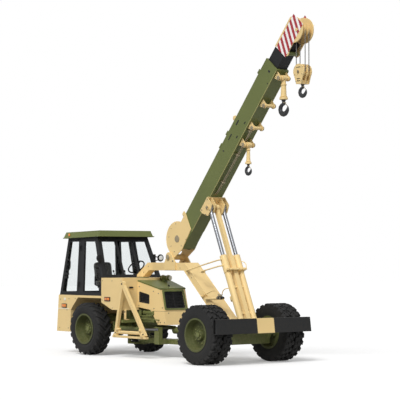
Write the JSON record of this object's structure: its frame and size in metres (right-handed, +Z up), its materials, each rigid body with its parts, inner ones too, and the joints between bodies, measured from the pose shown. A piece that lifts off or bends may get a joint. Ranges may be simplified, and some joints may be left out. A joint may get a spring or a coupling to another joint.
{
  "type": "articulated mobile crane",
  "caption": "Articulated pick-and-carry crane: rear cab unit hinged to a front unit with twin tyres, luffing cylinders and a telescopic box boom with hooks.",
  "frame": {"origin": "on the ground under the middle of the bounding box", "axes": "+X forward to the bumper, +Y to the machine's left, +Z up"},
  "size_m": [7.303, 2.5, 6.8397],
  "materials": {
    "tyre": "worn",
    "olive_paint": "satin",
    "beige_paint": "satin",
    "black_paint": "satin",
    "black_plastic": "matte",
    "steel_rod": "polished",
    "glass": "clear",
    "rope": "matte",
    "red_white": "satin",
    "amber": "gloss"
  },
  "bodies": {
    "front": {"front_chassis": "olive_paint", "front_axle": "olive_paint", "tower": "beige_paint", "gooseneck": "beige_paint", "bumper": "black_paint"},
    "rear": {"rear_chassis": "olive_paint", "rear_axle": "olive_paint", "cab_base": "beige_paint", "cab_frame": "black_paint", "cab_roof": "olive_paint", "cab_glass": "glass", "counterweight": "beige_paint", "cowl": "beige_paint", "hood_panels": "beige_paint", "hood_lid": "olive_paint", "grille_frame": "olive_paint", "grille": "black_paint", "engine": "olive_paint", "side_frame": "beige_paint", "lamps": "amber", "air_cleaner": "olive_paint", "seat": "black_plastic", "controls": "black_plastic"},
    "front_wheels_right": {"front_tyres_right": "tyre", "front_rims_right": "olive_paint"},
    "front_wheels_left": {"front_tyres_left": "tyre", "front_rims_left": "olive_paint"},
    "rear_wheel_right": {"rear_tyre_right": "tyre", "rear_rim_right": "olive_paint"},
    "rear_wheel_left": {"rear_tyre_left": "tyre", "rear_rim_left": "olive_paint"},
    "boom": {"boom_outer": "olive_paint", "boom_foot": "beige_paint", "boom_brackets": "beige_paint"},
    "fly_section": {"boom_inner": "black_paint", "boom_head": "beige_paint", "hazard_plates": "red_white", "rope_roller": "olive_paint"},
    "winch_drum": {"winch_drum": "black_paint"},
    "head_sheaves": {"head_sheaves": "black_paint"},
    "hoist": {"hoist_ropes": "rope", "hook_block": "beige_paint"},
    "main_hook": {"main_hook": "black_paint"},
    "big_shank": {"big_hook_shank": "beige_paint"},
    "big_hook": {"big_hook": "black_paint"},
    "small_shank": {"small_hook_shank": "beige_paint"},
    "small_hook": {"small_hook": "black_paint"},
    "lift_barrels": {"lift_barrels": "beige_paint"},
    "lift_rods": {"lift_rods": "steel_rod", "strut_tube": "beige_paint"},
    "door": {"door": "black_paint", "door_glass": "glass"},
    "steer_barrel_right": {"steer_barrel_right": "olive_paint"},
    "steer_barrel_left": {"steer_barrel_left": "olive_paint"},
    "steer_rod_right": {"steer_rod_right": "steel_rod"},
    "steer_rod_left": {"steer_rod_left": "steel_rod"}
  },
  "joints": [
    {"name": "articulation", "type": "hinge", "parent": "front", "child": "rear", "pos_m": [-1.5415, 0, 0.34], "axis": [0, 0, 1], "range_deg": [-30, 30]},
    {"name": "front_wheels_right_spin", "type": "hinge", "parent": "front", "child": "front_wheels_right", "pos_m": [1.6585, -0.958, 0.593], "axis": [0, 1, 0], "continuous": true},
    {"name": "rear_wheel_right_spin", "type": "hinge", "parent": "rear", "child": "rear_wheel_right", "pos_m": [-2.4415, -0.793, 0.569], "axis": [0, 1, 0], "continuous": true},
    {"name": "front_wheels_left_spin", "type": "hinge", "parent": "front", "child": "front_wheels_left", "pos_m": [1.6585, 0.958, 0.593], "axis": [0, 1, 0], "continuous": true},
    {"name": "rear_wheel_left_spin", "type": "hinge", "parent": "rear", "child": "rear_wheel_left", "pos_m": [-2.4415, 0.793, 0.569], "axis": [0, 1, 0], "continuous": true},
    {"name": "boom_luff", "type": "hinge", "parent": "front", "child": "boom", "pos_m": [-0.4315, 0, 2.13], "axis": [0, -1, 0], "range_deg": [-32, 14]},
    {"name": "boom_telescope", "type": "slide", "parent": "boom", "child": "fly_section", "axis": [0.6428, 0, 0.766], "range_m": [-0.15, 3]},
    {"name": "lift_barrels_swing", "type": "hinge", "parent": "front", "child": "lift_barrels", "pos_m": [1.9285, 0, 0.68], "axis": [0, -1, 0], "range_deg": [-2.56, 1.12]},
    {"name": "lift_rods_slide", "type": "slide", "parent": "lift_barrels", "child": "lift_rods", "axis": [-0.3919, 0, 0.92], "range_m": [-0.917, 0.402]},
    {"name": "winch_drum_turn", "type": "hinge", "parent": "boom", "child": "winch_drum", "pos_m": [-0.19219, 0, 2.5101], "axis": [0, 1, 0], "continuous": true},
    {"name": "head_sheaves_turn", "type": "hinge", "parent": "fly_section", "child": "head_sheaves", "pos_m": [3.47832, 0, 6.52507], "axis": [0, 1, 0], "continuous": true},
    {"name": "hoist_hang", "type": "hinge", "parent": "fly_section", "child": "hoist", "pos_m": [3.47832, 0, 6.52507], "axis": [0, -1, 0], "range_deg": [-14.01, 32.01]},
    {"name": "main_hook_swivel", "type": "hinge", "parent": "hoist", "child": "main_hook", "pos_m": [3.47832, 0, 5.476], "axis": [0, 0, 1], "continuous": true},
    {"name": "big_hook_hang", "type": "hinge", "parent": "boom", "child": "big_shank", "pos_m": [2.93345, 0, 5.63769], "axis": [0, -1, 0], "range_deg": [-14.01, 32.01]},
    {"name": "big_hook_swivel", "type": "hinge", "parent": "big_shank", "child": "big_hook", "pos_m": [2.93345, 0, 5.2157], "axis": [0, 0, 1], "continuous": true},
    {"name": "small_hook_hang", "type": "hinge", "parent": "boom", "child": "small_shank", "pos_m": [1.87928, 0, 4.38138], "axis": [0, -1, 0], "range_deg": [-14.01, 32.01]},
    {"name": "small_hook_swivel", "type": "hinge", "parent": "small_shank", "child": "small_hook", "pos_m": [1.87928, 0, 3.99638], "axis": [0, 0, 1], "continuous": true},
    {"name": "door_swing", "type": "hinge", "parent": "rear", "child": "door", "pos_m": [-2.8445, -0.85634, 1.32], "axis": [-0.0869, 0.1206, 0.9889], "range_deg": [0, 100]},
    {"name": "steer_barrel_right_swing", "type": "hinge", "parent": "rear", "child": "steer_barrel_right", "pos_m": [-1.8215, -0.56, 0.6], "axis": [0, 0, 1], "range_deg": [-21, 21]},
    {"name": "steer_rod_right_slide", "type": "slide", "parent": "steer_barrel_right", "child": "steer_rod_right", "axis": [0.9864, 0.1644, 0], "range_m": [-0.263, 0.263]},
    {"name": "steer_barrel_left_swing", "type": "hinge", "parent": "rear", "child": "steer_barrel_left", "pos_m": [-1.8215, 0.56, 0.6], "axis": [0, 0, 1], "range_deg": [-21, 21]},
    {"name": "steer_rod_left_slide", "type": "slide", "parent": "steer_barrel_left", "child": "steer_rod_left", "axis": [0.9864, -0.1644, 0], "range_m": [-0.263, 0.263]}
  ],
  "couplings": [
    {"joint": "lift_barrels_swing", "follows": "boom_luff", "ratio": 0.08},
    {"joint": "lift_rods_slide", "follows": "boom_luff", "m_per_rad": 1.64},
    {"joint": "hoist_hang", "follows": "boom_luff", "ratio": -1},
    {"joint": "big_hook_hang", "follows": "boom_luff", "ratio": -1},
    {"joint": "small_hook_hang", "follows": "boom_luff", "ratio": -1},
    {"joint": "steer_barrel_right_swing", "follows": "articulation", "ratio": -0.7},
    {"joint": "steer_rod_right_slide", "follows": "articulation", "m_per_rad": -0.5},
    {"joint": "steer_barrel_left_swing", "follows": "articulation", "ratio": -0.7},
    {"joint": "steer_rod_left_slide", "follows": "articulation", "m_per_rad": 0.5}
  ]
}
